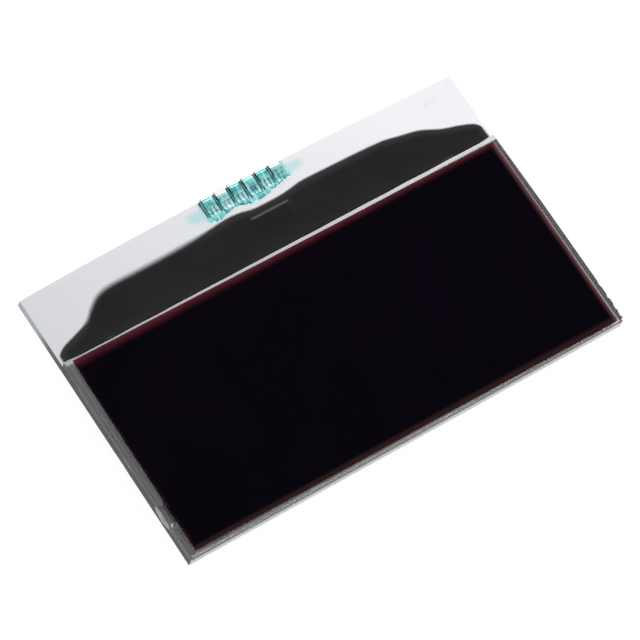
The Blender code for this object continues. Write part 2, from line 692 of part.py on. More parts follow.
def build():
    clear_scene()
    model = Model()
    glass = principled("soda_lime_glass", (0.86, 0.89, 0.90), 0.05, alpha=0.35)
    seal = principled("epoxy_seal", (0.16, 0.03, 0.045), 0.5)
    crystal = principled("liquid_crystal", (0.012, 0.009, 0.018), 0.3)
    film = principled("polarizer_film", (0.006, 0.005, 0.010), 0.12)
    plug_resin = principled("clear_resin", (0.62, 0.66, 0.62), 0.2)
    silicon = principled("silicon", (0.10, 0.10, 0.11), 0.25, metallic=0.6)
    bond_film = principled("bonding_film", (0.35, 0.30, 0.18), 0.5)
    coating = principled("black_coating", (0.022, 0.022, 0.024), 0.45)
    metal = principled("tinned_bronze", (0.80, 0.83, 0.82), 0.25, metallic=1.0)
    teal = principled("teal_resin", (0.12, 0.48, 0.47), 0.08)

    make_rear_glass(model, glass)
    make_front_glass(model, glass)
    make_perimeter_seal(model, seal)
    make_liquid_crystal(model, crystal)
    make_fill_port_plug(model, plug_resin)
    make_front_polarizer(model, film)
    make_rear_polarizer(model, film)
    make_driver_chip(model, silicon, bond_film)
    make_protective_coating(model, coating)
    make_contact_clips(model, metal)
    make_contact_resin(model, teal)


build()
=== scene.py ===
import math

import bmesh
import bpy
from mathutils import Matrix, Vector, noise


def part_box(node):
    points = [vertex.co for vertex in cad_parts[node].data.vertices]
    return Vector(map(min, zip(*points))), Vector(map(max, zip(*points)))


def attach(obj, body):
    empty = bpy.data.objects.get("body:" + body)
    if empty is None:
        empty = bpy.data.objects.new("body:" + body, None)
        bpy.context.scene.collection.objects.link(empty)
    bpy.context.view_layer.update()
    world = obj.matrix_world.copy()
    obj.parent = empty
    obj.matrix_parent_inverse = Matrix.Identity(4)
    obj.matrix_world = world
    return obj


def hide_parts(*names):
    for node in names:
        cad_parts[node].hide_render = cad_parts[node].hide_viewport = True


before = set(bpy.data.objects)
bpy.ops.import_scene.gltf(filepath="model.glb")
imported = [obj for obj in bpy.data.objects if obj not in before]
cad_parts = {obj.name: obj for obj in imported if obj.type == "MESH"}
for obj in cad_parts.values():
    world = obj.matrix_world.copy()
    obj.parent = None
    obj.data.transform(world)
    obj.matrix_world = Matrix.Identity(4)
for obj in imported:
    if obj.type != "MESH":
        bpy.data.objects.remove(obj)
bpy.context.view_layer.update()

# Camera: a long lens above the near left corner, turned so that the cell lies across the square picture from its
# lower left to its upper right.
camera_data = bpy.data.cameras.new("camera")
camera_data.sensor_width = 36.0
camera_data.lens = 253.125
camera_data.clip_start = 0.01
camera_data.clip_end = 20.0
camera = bpy.data.objects.new("camera", camera_data)
bpy.context.scene.collection.objects.link(camera)
CAMERA_PLACE = (-0.1911646, -0.149081, 0.4984447)
# The directions of the picture's right side and top, and from the cell back to the lens.
camera_axes = Matrix((
    (0.82637672, -0.54135196, 0.15504699),
    (0.44557108, 0.79696679, 0.40781167),
    (-0.34433695, -0.26792162, 0.89980558),
))
camera.matrix_world = Matrix.Translation(CAMERA_PLACE) @ camera_axes.transposed().to_4x4()
bpy.context.scene.camera = camera
bpy.context.scene.view_settings.view_transform = "Standard"


# Table and light: a white matt table that reads as plain white to the lens, in mirrors and through glass, and still
# takes the cell's soft shadow. The room is bright near the horizon and a little dimmer overhead, and one soft lamp
# stands beyond the far side.
def new_material(name):
    """A material, its nodes and its shader."""
    material = bpy.data.materials.new(name)
    material.use_nodes = True
    nodes = material.node_tree.nodes
    return material, nodes, nodes["Principled BSDF"]


def set_inputs(node, values):
    """Fills a node's own sockets: each value is a constant, or another node's output to link."""
    for label, value in values.items():
        if isinstance(value, bpy.types.NodeSocket):
            node.id_data.links.new(value, node.inputs[label])
        else:
            node.inputs[label].default_value = value


def add_node(nodes, kind, values=None, **settings):
    """A new node; its settings come first, because they decide which sockets it shows."""
    node = nodes.new("ShaderNode" + kind)
    for label, value in settings.items():
        setattr(node, label, value)
    set_inputs(node, values or {})
    return node


def add_ramp(nodes, factor, *stops):
    """A colour ramp through (place, colour) stops."""
    ramp = add_node(nodes, "ValToRGB", {"Fac": factor})
    elements = ramp.color_ramp.elements
    elements.remove(elements[1])
    for number, (at, colour) in enumerate(stops):
        stop = elements.new(at) if number else elements[0]
        stop.position = at
        stop.color = (*colour, 1.0)
    return ramp


def object_place(nodes):
    """Where a point lies on its piece, in metres from the cell's middle."""
    return add_node(nodes, "TexCoord").outputs["Object"]


def mixed(nodes, factor, under, over, blend="MIX"):
    """One colour laid over another by a factor."""
    sockets = {"Factor": factor, "A": under, "B": over}
    return add_node(nodes, "Mix", sockets, data_type="RGBA", blend_type=blend).outputs["Result"]


def dress(obj, *materials):
    """Gives an object these materials in place of its own."""
    obj.data.materials.clear()
    for material in materials:
        obj.data.materials.append(material)
    return obj


def link_in(obj, *materials):
    bpy.context.scene.collection.objects.link(obj)
    return dress(obj, *materials)


def finished(shape, name, smooth=30):
    """The object of a mesh in the making, shaded smooth across every edge below that many degrees."""
    bmesh.ops.recalc_face_normals(shape, faces=shape.faces)
    mesh = bpy.data.meshes.new(name)
    shape.to_mesh(mesh)
    shape.free()
    if smooth:
        mesh.shade_smooth()
        mesh.set_sharp_from_angle(angle=math.radians(smooth))
    return bpy.data.objects.new(name, mesh)


TABLE_HALF = 3.0
# How much of the table's own glow shows to the lens, in mirrors and through glass.
TABLE_GLOW = 0.92
shape = bmesh.new()
bmesh.ops.create_grid(shape, x_segments=2, y_segments=2, size=TABLE_HALF)
table = finished(shape, "table", 0)
table_white, nodes, shader = new_material("table_white")
nodes.remove(shader)
matt = add_node(nodes, "BsdfDiffuse", {"Color": (0.96, 0.96, 0.97, 1.0)})
glow = add_node(nodes, "Emission", {"Color": (1.0, 1.0, 1.0, 1.0), "Strength": 1.02})
paths = add_node(nodes, "LightPath")
seen = add_node(nodes, "Math", {
    0: paths.outputs["Is Camera Ray"], 1: paths.outputs["Is Glossy Ray"],
}, operation="MAXIMUM")
seen_through = add_node(nodes, "Math", {
    0: seen.outputs[0], 1: paths.outputs["Is Transmission Ray"],
}, operation="MAXIMUM")
share = add_node(nodes, "Math", {0: seen_through.outputs[0], 1: TABLE_GLOW}, operation="MULTIPLY")
mix = add_node(nodes, "MixShader", {0: share.outputs[0], 1: matt.outputs[0], 2: glow.outputs[0]})
set_inputs(nodes["Material Output"], {"Surface": mix.outputs[0]})
link_in(table, table_white)

world = bpy.data.worlds.new("room")
bpy.context.scene.world = world
world.use_nodes = True
nodes = world.node_tree.nodes
direction = add_node(nodes, "TexCoord")
split = add_node(nodes, "SeparateXYZ", {0: direction.outputs["Generated"]})
room = add_ramp(
    nodes, split.outputs["Z"], (0.0, (0.98, 0.98, 1.0)), (0.55, (0.88, 0.88, 0.90)), (1.0, (0.62, 0.62, 0.64))
)
set_inputs(nodes["Background"], {"Color": room.outputs["Color"], "Strength": 1.25})

lamp_data = bpy.data.lights.new("soft_lamp", "AREA")
lamp_data.shape = "DISK"
lamp_data.size = 0.32
lamp_data.energy = 1.6
lamp = bpy.data.objects.new("soft_lamp", lamp_data)
lamp.location = (0.28, 0.72, 0.19)
lamp.rotation_euler = (-lamp.location).to_track_quat("-Z", "Y").to_euler()
bpy.context.scene.collection.objects.link(lamp)


# Rear glass: the deep sheet of clear display glass. It was scored and snapped, so its faces are polished, its left
# end is streaked and nibbled, and its other ends are cleaner. The far end, the contact ledge's, broke in a shallow
# bow, and plain register crosses are etched on the ledge. Sizes are in metres, here and below, unless marked.
SNAP_STEP = 0.00035
ARRIS = 0.00002
END_WAVE = 0.000012
WAVE_GRAIN = 260
NIBBLE = 0.00006
NIBBLE_GRAIN = 230
NIBBLED_ABOVE = 0.15
NIBBLED_DEPTH = 0.0004
LEDGE_BOW = 0.0006
BOW_FROM = 0.004
LEFT_FLARE = 0.00013
MARK_HALF_WIDTH = 0.00010
MARK_HALF_LENGTH = 0.00055
MARK_STRENGTH = 0.3
ETCHED_GREY = (0.70, 0.70, 0.72, 1.0)
MARK_PLACES = ((-0.02764, 0.01724), (-0.02630, 0.01724), (0.02861, 0.01724), (0.02730, 0.01724))
# A faintly brownish strip across the sheet: where it lies and half its width.
STRIP_Y, STRIP_HALF = 0.0090, 0.00022


def shader_group(name, inputs, outputs):
    """An empty node group with named sockets: each is a name and its kind of value."""
    group = bpy.data.node_groups.new(name, "ShaderNodeTree")
    for label, kind in inputs:
        group.interface.new_socket(label, in_out="INPUT", socket_type=kind)
    for label, kind in outputs:
        group.interface.new_socket(label, in_out="OUTPUT", socket_type=kind)
    return group, group.nodes.new("NodeGroupInput"), group.nodes.new("NodeGroupOutput")


FLOAT = "NodeSocketFloat"
streaks, group_in, group_out = shader_group(
    "snap_streaks", [("Length", FLOAT), ("Fineness", FLOAT)], [("Streak", FLOAT), ("Hackle", FLOAT)]
)
place = object_place(streaks.nodes)
stretch = add_node(streaks.nodes, "CombineXYZ", {
    "X": group_in.outputs["Length"], "Y": group_in.outputs["Length"], "Z": group_in.outputs["Fineness"],
})
scaled = add_node(streaks.nodes, "VectorMath", {0: place, 1: stretch.outputs[0]}, operation="MULTIPLY")
lines = add_node(streaks.nodes, "TexNoise", {
    "Vector": scaled.outputs[0], "Scale": 1.0, "Detail": 5.0, "Roughness": 0.6,
})
chatter = add_node(streaks.nodes, "TexNoise", {"Vector": place, "Scale": 2600.0, "Detail": 4.0})
set_inputs(group_out, {"Streak": lines.outputs["Fac"], "Hackle": chatter.outputs["Fac"]})

register, group_in, group_out = shader_group(
    "register_mark", [("Place", "NodeSocketVector"), ("Middle", "NodeSocketVector")], [("Mask", FLOAT)]
)
from_middle = add_node(register.nodes, "VectorMath", {
    0: group_in.outputs["Place"], 1: group_in.outputs["Middle"],
}, operation="SUBTRACT")
parts = add_node(register.nodes, "SeparateXYZ", {0: from_middle.outputs[0]})
arms = []
for thin, long in (("X", "Y"), ("Y", "X")):
    limits = []
    for axis, half in ((thin, MARK_HALF_WIDTH), (long, MARK_HALF_LENGTH)):
        near = add_node(register.nodes, "Math", {0: parts.outputs[axis], 1: 0.0, 2: half}, operation="COMPARE")
        limits.append(near)
    arm = add_node(register.nodes, "Math", {0: limits[0].outputs[0], 1: limits[1].outputs[0]}, operation="MULTIPLY")
    arms.append(arm)
cross = add_node(register.nodes, "Math", {0: arms[0].outputs[0], 1: arms[1].outputs[0]}, operation="MAXIMUM")
set_inputs(group_out, {"Mask": cross.outputs[0]})

glass_face, nodes, shader = new_material("polished_glass")
place = object_place(nodes)
wipe = add_node(nodes, "TexNoise", {"Vector": place, "Scale": 90.0, "Detail": 3.0})
haze = add_node(nodes, "MapRange", {"Value": wipe.outputs["Fac"], "From Min": 0.5, "From Max": 0.9, "To Max": 0.04})
split = add_node(nodes, "SeparateXYZ", {0: place})
along = add_node(nodes, "MapRange", {"Value": split.outputs["X"], "From Min": -0.035, "From Max": 0.022})
tint = add_ramp(nodes, along.outputs["Result"], (0.0, (0.672, 0.685, 0.718)), (1.0, (0.897, 0.912, 0.941)))
glass_colour = tint.outputs["Color"]
set_inputs(shader, {"Transmission Weight": 1.0, "IOR": 1.52, "Roughness": haze.outputs["Result"]})
for x, y in MARK_PLACES:
    mark = add_node(nodes, "Group", {"Place": place, "Middle": (x, y, 0.0)}, node_tree=register)
    faint = add_node(nodes, "Math", {0: mark.outputs["Mask"], 1: MARK_STRENGTH}, operation="MULTIPLY")
    glass_colour = mixed(nodes, faint.outputs[0], glass_colour, ETCHED_GREY)
strip = add_node(nodes, "Math", {0: split.outputs["Y"], 1: STRIP_Y, 2: STRIP_HALF}, operation="COMPARE")
tinted = mixed(nodes, strip.outputs[0], glass_colour, (0.96, 0.935, 0.93, 1.0), "MULTIPLY")
set_inputs(shader, {"Base Color": tinted})


def broken_glass(name, dark, light, clear, roughness, bump, shine=0.5, bend=1.52, along=()):
    """Glass whose broken end is streaked along its length; clear is how much of the light goes through it, and bend
    is how strongly it bends that light.

    The pairs in along give a painted shade by the place along the left end, in millimetres from the cell's middle.
    """
    material, nodes, shader = new_material(name)
    marks = add_node(nodes, "Group", {"Length": 160.0, "Fineness": 5200.0}, node_tree=streaks)
    grey = add_ramp(nodes, marks.outputs["Streak"], (0.32, dark), (0.68, light))
    colour = grey.outputs["Color"]
    set_inputs(shader, {"Transmission Weight": clear, "IOR": bend, "Specular IOR Level": shine})
    if along:
        place = object_place(nodes)
        split = add_node(nodes, "SeparateXYZ", {0: place})
        half = HALF_DEPTH * 0.001
        reach = add_node(nodes, "MapRange", {"Value": split.outputs["Y"], "From Min": -half, "From Max": half})
        stops = [((y / HALF_DEPTH + 1) / 2, value) for y, value in along]
        shade = add_ramp(nodes, reach.outputs["Result"], *stops)
        colour = mixed(nodes, 1.0, colour, shade.outputs["Color"], "MULTIPLY")
    frost = add_node(nodes, "MapRange", {
        "Value": marks.outputs["Hackle"], "To Min": roughness * 0.5, "To Max": roughness,
    })
    ridge = add_node(nodes, "Bump", {"Strength": bump, "Distance": 0.00004, "Height": marks.outputs["Streak"]})
    set_inputs(shader, {
        "Base Color": colour, "Roughness": frost.outputs["Result"], "Normal": ridge.outputs["Normal"],
    })
    return material


HALF_DEPTH = 20.0
# Painted shade along the left end: dark along the cell, where its dark layers lie behind the glass, and painted light
# at the ledge, where the table shows through.
END_PAINTED_SHADES = [
    (-HALF_DEPTH, (0.095, 0.095, 0.093)), (8.6, (0.080, 0.080, 0.080)), (10.0, (0.12, 0.12, 0.123)),
    (12.3, (0.20, 0.205, 0.21)), (14.6, (0.58, 0.68, 0.69)), (19.0, (0.70, 0.72, 0.74)), (19.7, (0.40, 0.41, 0.42)),
]
# The five looks are of one glass; their greys are painted light and shade, darkest on the front sheet's near side and
# palest on the rear sheet's near side and the clean breaks.
glass_end = broken_glass(
    "hackled_end", (0.28, 0.285, 0.285), (0.72, 0.73, 0.73), clear=0.08, roughness=0.5, bump=0.25, shine=0.2,
    along=END_PAINTED_SHADES,
)
glass_right = broken_glass("ragged_end", (0.60, 0.64, 0.63), (0.66, 0.70, 0.69), clear=1.0, roughness=0.0, bump=0.0)
glass_near = broken_glass(
    "hackled_side", (0.085, 0.087, 0.089), (0.14, 0.143, 0.146), clear=0.30, roughness=0.35, bump=0.05, shine=0.25,
    bend=1.2,
)
glass_low = broken_glass(
    "clear_side", (0.84, 0.845, 0.85), (0.97, 0.975, 0.98), clear=0.5, roughness=0.4, bump=0.08, shine=0.3
)
glass_clean = broken_glass("clean_break", (0.86, 0.88, 0.89), (0.96, 0.97, 0.98), clear=1.0, roughness=0.05, bump=0.0)


def snapped_sheet(low, high, seed, clean_from, bites):
    """A glass sheet whose left end is nibbled up to clean_from; each bite (place, radius) is a shell broken out."""
    sheet = bmesh.new()
    size = high - low
    levels = [0.0, ARRIS / size.z, 0.25, 0.5, 0.75, 1 - ARRIS / size.z, 1.0]
    rings = len(levels) - 1
    bmesh.ops.create_cube(
        sheet, size=1.0, matrix=Matrix.Translation((low + high) / 2) @ Matrix.Diagonal((*size, 1.0))
    )
    for axis in (0, 1):
        along = [e for e in sheet.edges if abs((e.verts[0].co - e.verts[1].co).normalized()[axis]) > 0.9]
        bmesh.ops.subdivide_edges(sheet, edges=along, cuts=round(size[axis] / SNAP_STEP), use_grid_fill=True)
    upright = [e for e in sheet.edges if abs((e.verts[0].co - e.verts[1].co).normalized().z) > 0.9]
    bmesh.ops.subdivide_edges(sheet, edges=upright, cuts=rings - 1, use_grid_fill=True)
    for vert in sheet.verts:
        ring = round((vert.co.z - low.z) / size.z * rings)
        vert.co.z = low.z + levels[ring] * size.z
    for vert in sheet.verts:
        sides = (vert.co.x - low.x, high.x - vert.co.x, vert.co.y - low.y, high.y - vert.co.y)
        depth = min(sides)
        into = Vector((0.0, 0.0, 0.0))
        for side, (axis, way) in zip(sides, ((0, 1.0), (0, -1.0), (1, 1.0), (1, -1.0))):
            if side < depth + 1e-6:
                into[axis] = way
        rim = 1.0 - min(abs(vert.co.z - low.z), abs(high.z - vert.co.z)) / (size.z / 2)
        top = 1.0 if vert.co.z > (low.z + high.z) / 2 else 0.0
        spot = vert.co + Vector((seed, 0.0, top))
        hackled = 1.0 if into.x > 0 and vert.co.y <= clean_from else 0.0
        wave = noise.noise(spot * WAVE_GRAIN) * END_WAVE
        nibble = max(0.0, noise.noise(spot * NIBBLE_GRAIN) - NIBBLED_ABOVE) * NIBBLE * rim**4
        arris = ARRIS if rim > 0.99 else 0.0
        fade = max(0.0, 1.0 - depth / NIBBLED_DEPTH)
        vert.co += into * (wave + nibble + arris) * hackled * fade
    for centre, radius in bites:
        for vert in sheet.verts:
            away = vert.co - Vector(centre)
            if away.length < radius:
                vert.co = Vector(centre) + away.normalized() * radius
    return sheet


def glass_piece(sheet, name, ledge_from, near_side):
    """The finished sheet with a look for each side; beyond ledge_from only its left end is streaked."""
    looks = [glass_face, glass_end, near_side, glass_clean, glass_right]
    piece = link_in(finished(sheet, name, 25), *looks)
    for face in piece.data.polygons:
        if abs(face.normal.z) > 0.98:
            look = glass_face
        elif face.center.y > ledge_from and face.normal.x > -0.6:
            look = glass_clean
        elif face.normal.x > abs(face.normal.y):
            look = glass_right
        elif -face.normal.x > abs(face.normal.y):
            look = glass_end
        else:
            look = near_side
        face.material_index = looks.index(look)
    return piece


rear_low, rear_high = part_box("rear_glass")
rear_high.y -= LEDGE_BOW
ledge_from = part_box("front_glass")[1].y
rear_sheet = snapped_sheet(rear_low, rear_high, 1.0, ledge_from, [])
for vert in rear_sheet.verts:
    across = (vert.co.x - rear_low.x) / (rear_high.x - rear_low.x)
    near_end = min(max((vert.co.y - rear_high.y + BOW_FROM) / BOW_FROM, 0.0), 1.0)
    vert.co.y += 4 * LEDGE_BOW * across * (1 - across) * near_end
    if across < 0.01:
        vert.co.x -= LEFT_FLARE * (rear_high.z - vert.co.z) / (rear_high.z - rear_low.z)
rear_glass = glass_piece(rear_sheet, "rear_glass_sheet", ledge_from, glass_low)
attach(rear_glass, "root")
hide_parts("rear_glass")


# Front glass: the shallow sheet of the same glass, glued over the rear one by the seal. Its near right corner and the
# end beside it have shells broken out, and that end draws in towards the ledge.
RIGHT_DRAW_IN = 0.00012
DRAW_IN_FROM, DRAW_IN_LENGTH = -0.002, 0.011
RIGHT_BAND = 0.0006
FAR_BAND = 0.0002
front_low, front_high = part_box("front_glass")
corner = Vector((front_high.x, front_low.y, front_high.z))
# Each shell's middle and its radius.
shells = [
    (corner + Vector((0.00055, -0.00055, 0.0)), 0.0010),
    (corner + Vector((0.00045, 0.0008, 0.0001)), 0.00062),
    (corner + Vector((0.0004, 0.0019, 0.0001)), 0.00056),
    (corner + Vector((0.0003, 0.0035, 0.00005)), 0.00046),
    (corner + Vector((0.0004, 0.0054, 0.0001)), 0.00052),
]
far_end = front_high.y - FAR_BAND
front_sheet = snapped_sheet(front_low, front_high, 7.0, far_end, shells)
for vert in front_sheet.verts:
    if vert.co.x > front_high.x - RIGHT_BAND:
        vert.co.x -= RIGHT_DRAW_IN * min(max((vert.co.y - DRAW_IN_FROM) / DRAW_IN_LENGTH, 0.0), 1.0)
front_glass = glass_piece(front_sheet, "front_glass_sheet", far_end, glass_near)
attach(front_glass, "root")
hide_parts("front_glass")


# Seal and liquid crystal: the layers between the sheets, seen only through the front glass's bare border and at its
# ends. The seal is a printed and cured epoxy frame with a port on the left, and the crystal fills it.
seal_low, seal_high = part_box("perimeter_seal")
port_low, port_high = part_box("fill_port_plug")
port_middle = (port_low.y + port_high.y) / 2
PORT_HALF = 0.0013
END_WIDTH, SIDE_WIDTH = 0.00118, 0.0009
OUTER_RADIUS, INNER_RADIUS = 0.0004, 0.0012
# How far the epoxy was pressed out at the left and right end and on the near side.
PRESSED_LEFT, PRESSED_RIGHT, PRESSED_NEAR = -0.00001, 0.00014, 0.00034
# How far its outer and inner edges waver, and how closely.
RUN_OUT, OUT_GRAIN = 0.00003, 700
RUN_IN, IN_GRAIN = 0.00007, 420
SIDE_STEPS = 120
CORNER_STEPS = 10
# Any stretch of the loop longer than this is a straight side, which is divided so that it can waver.
LONG_SIDE = 0.004
# Painted shades across the last 0.4 mm of the frame's right end: the place there, from nought to one, and the grey.
RIGHT_END_PAINTED_SHADES = ((0.0, 1.0), (0.20, 1.0), (0.32, 0.02), (0.66, 0.02), (0.80, 0.12), (1.0, 0.22))


def rounded_loop(left, right, near, far, radius):
    """Points anticlockwise round a rectangle with rounded corners, the same number for every size."""
    points = []
    corners = [(right, near, -90), (right, far, 0), (left, far, 90), (left, near, 180)]
    for x, y, first in corners:
        centre = Vector((x - radius if x > 0 else x + radius, y + radius if y == near else y - radius))
        for step in range(CORNER_STEPS + 1):
            angle = math.radians(first + 90 * step / CORNER_STEPS)
            points.append(centre + radius * Vector((math.cos(angle), math.sin(angle))))
    filled = []
    for here, after in zip(points, points[1:] + points[:1]):
        filled.append(here)
        if (after - here).length > LONG_SIDE:
            filled += [here.lerp(after, step / SIDE_STEPS) for step in range(1, SIDE_STEPS)]
    return filled


outer = rounded_loop(
    seal_low.x - PRESSED_LEFT, seal_high.x + PRESSED_RIGHT, seal_low.y - PRESSED_NEAR, seal_high.y, OUTER_RADIUS
)
inner = rounded_loop(
    seal_low.x + END_WIDTH, seal_high.x - END_WIDTH, seal_low.y + SIDE_WIDTH, seal_high.y - SIDE_WIDTH, INNER_RADIUS
)
frame_mesh = bmesh.new()
bottom = []
for outside, inside in zip(outer, inner):
    across = (inside - outside).normalized()
    run_out = RUN_OUT * noise.noise(Vector((*outside, 0.0)) * OUT_GRAIN)
    run_in = RUN_IN * noise.noise(Vector((*inside, 0.1)) * IN_GRAIN)
    pair = (outside + across * run_out, inside + across * run_in)
    bottom.append([frame_mesh.verts.new((*point, seal_low.z)) for point in pair])
for (a, b), (c, d) in zip(bottom, bottom[1:] + bottom[:1]):
    middle = (a.co + b.co + c.co + d.co) / 4
    if middle.x > 0 or abs(middle.y - port_middle) > PORT_HALF:
        frame_mesh.faces.new((a, b, d, c))
loose = [vert for vert in frame_mesh.verts if not vert.link_faces]
bmesh.ops.delete(frame_mesh, geom=loose, context="VERTS")
grown = bmesh.ops.extrude_face_region(frame_mesh, geom=frame_mesh.faces[:])
lifted = [item for item in grown["geom"] if isinstance(item, bmesh.types.BMVert)]
bmesh.ops.translate(frame_mesh, verts=lifted, vec=(0.0, 0.0, seal_high.z - seal_low.z))
seal = finished(frame_mesh, "seal_frame", 30)
seal_epoxy, nodes, shader = new_material("seal_epoxy")
place = object_place(nodes)
# The grain runs along the frame at both ends and on the near side, and calms at the right end.
stretch = add_node(nodes, "Mapping", {"Vector": place, "Scale": (6000.0, 120.0, 1.0)})
grain = add_node(nodes, "TexNoise", {"Vector": stretch.outputs["Vector"], "Scale": 1.0, "Detail": 4.0})
long_stretch = add_node(nodes, "Mapping", {"Vector": place, "Scale": (120.0, 6000.0, 1.0)})
long_grain = add_node(nodes, "TexNoise", {"Vector": long_stretch.outputs["Vector"], "Scale": 1.0, "Detail": 4.0})
split = add_node(nodes, "SeparateXYZ", {0: place})
turn = add_node(nodes, "MapRange", {"Value": split.outputs["Y"], "From Min": -0.0189, "From Max": -0.0192})
turned = add_node(nodes, "Mix", {
    "Factor": turn.outputs["Result"], "A": grain.outputs["Fac"], "B": long_grain.outputs["Fac"],
})
calm = add_node(nodes, "MapRange", {
    "Value": split.outputs["X"], "From Min": 0.0308, "From Max": 0.0312, "To Max": 0.85,
})
calmed = add_node(nodes, "Mix", {"Factor": calm.outputs["Result"], "A": turned.outputs["Result"], "B": 0.5})
cure = add_ramp(nodes, calmed.outputs["Result"], (0.35, (0.125, 0.119, 0.109)), (0.7, (0.235, 0.224, 0.205)))
# Painted light and shade: the epoxy is brightened nearly fivefold, less on its left face, so it is darker there, and
# more on its near face, so it is paler there; towards its right face a painted shade makes it nearly black.
left_painted_light = add_node(nodes, "MapRange", {
    "Value": split.outputs["X"], "From Min": -0.0317, "From Max": -0.0308, "To Min": 2.5, "To Max": 4.8,
})
right_end = add_node(nodes, "MapRange", {"Value": split.outputs["X"], "From Min": 0.0317, "From Max": 0.0321})
right_painted_shade = add_ramp(
    nodes, right_end.outputs["Result"], *((at, (grey, grey, grey)) for at, grey in RIGHT_END_PAINTED_SHADES)
)
near_side = add_node(nodes, "MapRange", {
    "Value": split.outputs["Y"], "From Min": -0.0193, "From Max": -0.0198, "To Min": 1.0, "To Max": 4.2,
})
sides = add_node(nodes, "Math", {
    0: right_painted_shade.outputs["Color"], 1: near_side.outputs["Result"],
}, operation="MULTIPLY")
painted_gain = add_node(nodes, "Math", {0: left_painted_light.outputs["Result"], 1: sides.outputs[0]}, operation="MULTIPLY")
shade = add_node(nodes, "VectorMath", {0: cure.outputs["Color"], "Scale": painted_gain.outputs[0]}, operation="SCALE")
set_inputs(shader, {"Roughness": 0.5, "Base Color": shade.outputs["Vector"]})
link_in(seal, seal_epoxy)
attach(seal, "root")
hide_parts("perimeter_seal")

crystal_dark, nodes, shader = new_material("liquid_crystal_dark")
place = object_place(nodes)
cloud = add_node(nodes, "TexNoise", {"Vector": place, "Scale": 120.0})
depth = add_ramp(nodes, cloud.outputs["Fac"], (0.0, (0.010, 0.008, 0.014)), (1.0, (0.018, 0.014, 0.026)))
set_inputs(shader, {"Roughness": 0.3, "Base Color": depth.outputs["Color"]})
dress(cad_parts["liquid_crystal_layer"], crystal_dark)


# Front and rear polarizer: near-black stretched films stuck on the outside of both sheets, the front one a little
# askew. The seal shows through it as a maroon border that fades inwards, and a few dust specks lie on both.
def film_material(name, border, specks):
    """Near-black film; border adds the seal's colour, and specks is how strongly the dust shows."""
    material, nodes, shader = new_material(name)
    place = object_place(nodes)
    cloud = add_node(nodes, "TexNoise", {"Vector": place, "Scale": 110.0, "Detail": 2.0})
    black = add_ramp(nodes, cloud.outputs["Fac"], (0.3, (0.0008, 0.0006, 0.0019)), (0.7, (0.0017, 0.0003, 0.0029)))
    colour = black.outputs["Color"]
    set_inputs(shader, {"Specular IOR Level": 0.02, "IOR": 1.5})
    if border:
        colour = border(nodes, place, colour)
    speck = add_node(nodes, "TexVoronoi", {"Vector": place, "Scale": 95.0})
    tiny = add_node(nodes, "MapRange", {
        "Value": speck.outputs["Distance"], "From Min": 0.006, "From Max": 0.012, "To Min": specks, "To Max": 0.0,
    })
    dust = mixed(nodes, tiny.outputs["Result"], colour, (0.12, 0.13, 0.13, 1.0))
    smear = add_node(nodes, "MapRange", {"Value": cloud.outputs["Fac"], "To Min": 0.25, "To Max": 0.4})
    set_inputs(shader, {"Base Color": dust, "Roughness": smear.outputs["Result"]})
    return material


# The maroon border on each side, and last its paler rim on the right: its axis, where it starts and where it is full
# at the two ends of that side in millimetres, and its colour.
BORDER = [
    ("X", (-30.50, -30.50), (-30.98, -30.98), (0.026, 0.008, 0.011)),
    ("Y", (-18.55, -18.70), (-18.95, -19.30), (0.026, 0.0105, 0.0105)),
    ("X", (30.45, 30.45), (31.20, 31.20), (0.150, 0.058, 0.068)),
    ("Y", (7.30, 7.45), (8.75, 8.25), (0.100, 0.0165, 0.0250)),
    ("X", (31.12, 31.12), (31.34, 31.34), (0.26, 0.20, 0.20)),
]
HALF_SPAN = 0.032
# The least strength of the border in its pale patches, on the left side and on the others.
PATCHY, EVEN = 0.15, 0.8


def maroon_border(nodes, place, dark):
    split = add_node(nodes, "SeparateXYZ", {0: place})

    def ranged(value, low, high, first, last):
        sockets = {"Value": value, "From Min": low, "From Max": high, "To Min": first, "To Max": last}
        return add_node(nodes, "MapRange", sockets).outputs["Result"]

    patch = add_node(nodes, "TexNoise", {"Vector": place, "Scale": 330.0, "Detail": 3.0})
    colour = dark
    for side, (axis, start, full, red) in enumerate(BORDER):
        other = split.outputs["Y" if axis == "X" else "X"]
        begins = ranged(other, -HALF_SPAN, HALF_SPAN, start[0] * 0.001, start[1] * 0.001)
        ends = ranged(other, -HALF_SPAN, HALF_SPAN, full[0] * 0.001, full[1] * 0.001)
        rise = ranged(split.outputs[axis], begins, ends, 0.0, 1.0)
        square = add_node(nodes, "Math", {0: rise, 1: 1.8}, operation="POWER")
        least = PATCHY if side == 0 else EVEN
        uneven = ranged(patch.outputs["Fac"], 0.4, 0.62, least, 1.0)
        amount = add_node(nodes, "Math", {0: square.outputs[0], 1: uneven}, operation="MULTIPLY")
        colour = mixed(nodes, amount.outputs[0], colour, (*red, 1.0))
    return colour


dress(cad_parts["front_polarizer"], film_material("front_film", maroon_border, 0.5))
dress(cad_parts["rear_polarizer"], film_material("rear_film", None, 0.3))


# Driver chip and its bonding film: ground silicon on conductive adhesive, buried in the coating and seen only through
# the ledge from below.
silicon, nodes, shader = new_material("ground_silicon")
place = object_place(nodes)
grind = add_node(nodes, "TexWave", {"Vector": place, "Scale": 900.0, "Distortion": 3.0})
shade = add_ramp(nodes, grind.outputs["Fac"], (0.0, (0.16, 0.16, 0.17)), (1.0, (0.24, 0.24, 0.26)))
matt = add_node(nodes, "MapRange", {"Value": grind.outputs["Fac"], "To Min": 0.22, "To Max": 0.4})
set_inputs(shader, {"Metallic": 0.7, "Base Color": shade.outputs["Color"], "Roughness": matt.outputs["Result"]})
dress(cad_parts["driver_chip"], silicon)

